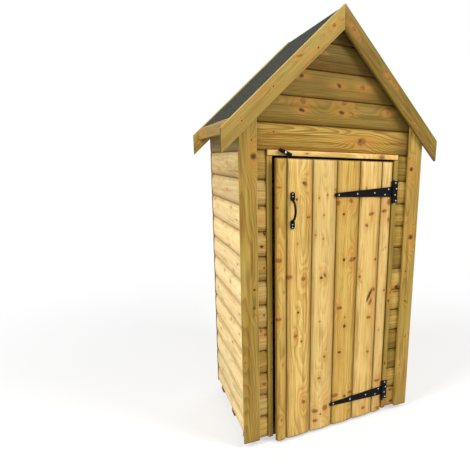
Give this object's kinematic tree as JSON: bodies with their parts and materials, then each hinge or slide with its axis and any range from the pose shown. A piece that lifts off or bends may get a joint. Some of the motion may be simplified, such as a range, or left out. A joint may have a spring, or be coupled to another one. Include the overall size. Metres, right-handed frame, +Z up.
{
  "type": "tool shed",
  "caption": "Narrow timber tool shed with log-profile cladding, a steep felted gable roof, a ledged and braced door on strap hinges and a turn button.",
  "frame": {"origin": "on the ground under the middle of the floor, on the middle bearer's underside", "axes": "+Z up, -Y towards the door side, +X towards the door's hinge side"},
  "size_m": [1.044, 0.7435, 1.955],
  "materials": {
    "cladding_timber": "planed, pressure-treated softwood with knots",
    "trim_timber": "planed, pressure-treated softwood",
    "framing_timber": "sawn, pressure-treated softwood",
    "roof_felt": "green-grey mineral felt",
    "black_ironmongery": "black painted steel",
    "zinc_screw": "bright zinc plated"
  },
  "bodies": {
    "shed": {"front_bearer": "framing_timber", "middle_bearer": "framing_timber", "rear_bearer": "framing_timber", "floor_boards": "framing_timber", "left_wall": "cladding_timber", "right_wall": "cladding_timber", "back_wall": "cladding_timber", "front_left_wall": "cladding_timber", "front_right_wall": "cladding_timber", "front_gable": "cladding_timber", "front_left_trim": "trim_timber", "front_right_trim": "trim_timber", "left_jamb_strip": "trim_timber", "right_jamb_strip": "trim_timber", "head_batten": "trim_timber", "left_door_post": "framing_timber", "right_door_post": "framing_timber", "head_rail": "framing_timber", "rear_left_post": "framing_timber", "rear_right_post": "framing_timber", "left_top_rail": "framing_timber", "right_top_rail": "framing_timber", "back_middle_rail": "framing_timber", "left_roof_boards": "framing_timber", "right_roof_boards": "framing_timber", "left_roof_felt": "roof_felt", "right_roof_felt": "roof_felt", "left_fascia": "trim_timber", "right_fascia": "trim_timber", "front_left_barge": "trim_timber", "front_right_barge": "trim_timber", "rear_left_barge": "trim_timber", "rear_right_barge": "trim_timber", "upper_hinge_plate": "black_ironmongery", "lower_hinge_plate": "black_ironmongery", "turn_button_screw": "zinc_screw"},
    "door": {"door_boards": "cladding_timber", "upper_ledge": "framing_timber", "middle_ledge": "framing_timber", "lower_ledge": "framing_timber", "upper_brace": "framing_timber", "lower_brace": "framing_timber", "upper_hinge_strap": "black_ironmongery", "lower_hinge_strap": "black_ironmongery", "pull_handle": "black_ironmongery"},
    "turn_button": {"turn_button": "black_ironmongery"}
  },
  "joints": [
    {"name": "door_hinge", "type": "hinge", "parent": "shed", "child": "door", "pos_m": [0.2955, -0.3075, 0.657], "axis": [0, 0, 1], "range_deg": [-3.6, 166.4]},
    {"name": "turn_button_pivot", "type": "hinge", "parent": "shed", "child": "turn_button", "pos_m": [-0.253, -0.302, 1.348], "axis": [0, 1, 0], "range_deg": [-22, 68]}
  ]
}
